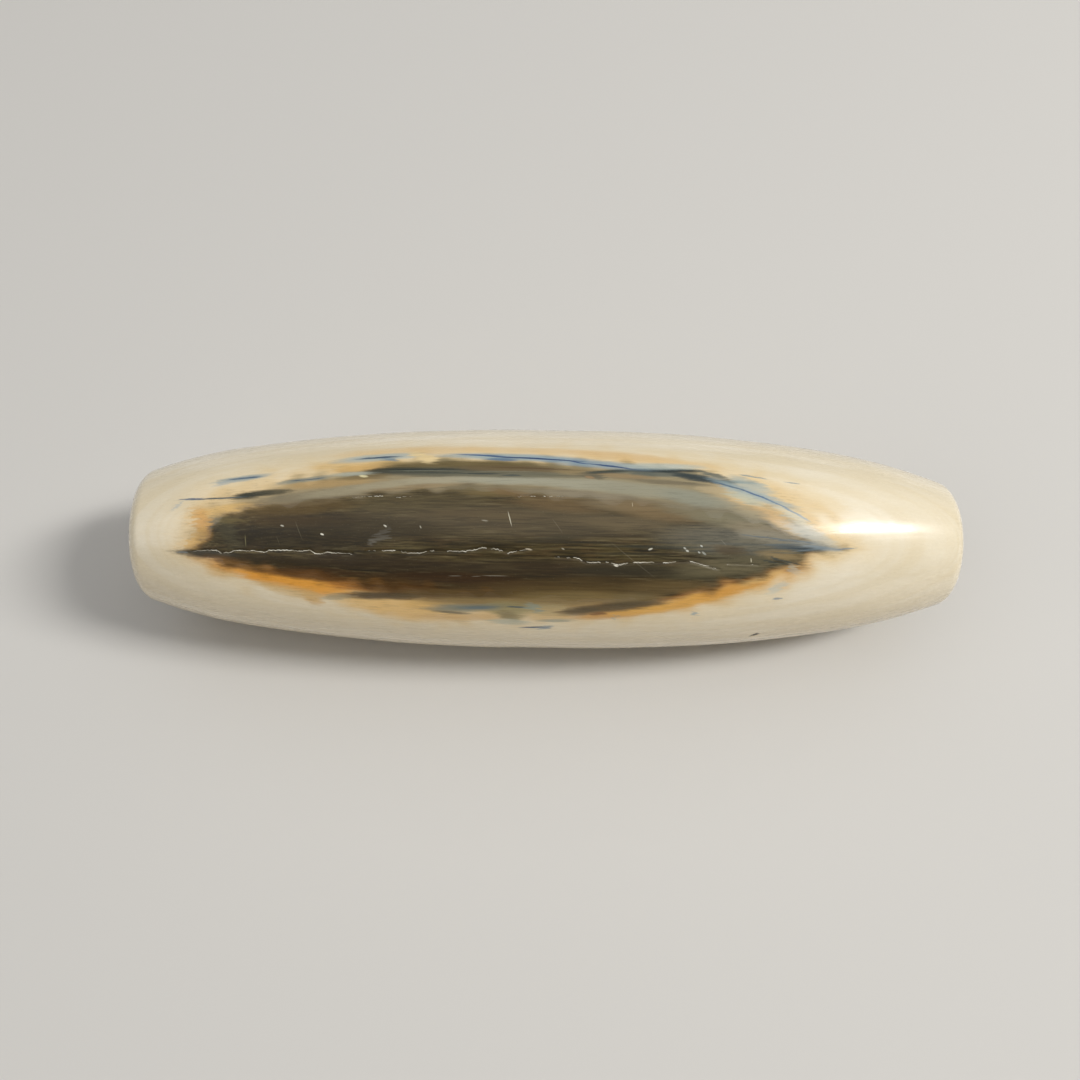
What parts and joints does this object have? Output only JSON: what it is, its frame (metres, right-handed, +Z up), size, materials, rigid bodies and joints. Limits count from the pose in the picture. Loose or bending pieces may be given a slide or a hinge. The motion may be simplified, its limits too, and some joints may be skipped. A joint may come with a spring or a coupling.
{
  "type": "barrel bead",
  "caption": "Polished barrel-shaped ivory bead with a lengthwise string bore and a dark natural bark patch.",
  "frame": {"origin": "middle of the string bore, half-way between the two end faces", "axes": "+X along the bore and the bead's length, +Z up with the bead lying on its side, +Y across it"},
  "size_m": [0.054, 0.0146, 0.0146],
  "materials": {
    "dentine": "polished cream mammoth dentine with fine lengthwise grain",
    "stained_cementum": "polished amber and olive cementum with blue mineral streaks",
    "bark": "polished dark brown bark with fine scratches",
    "crack_mineral": "pale mineral, matt"
  },
  "bodies": {
    "root": {"dentine_body": "dentine", "inner_cementum": "stained_cementum", "outer_bark": "bark", "crack_filling": "crack_mineral"}
  },
  "joints": []
}
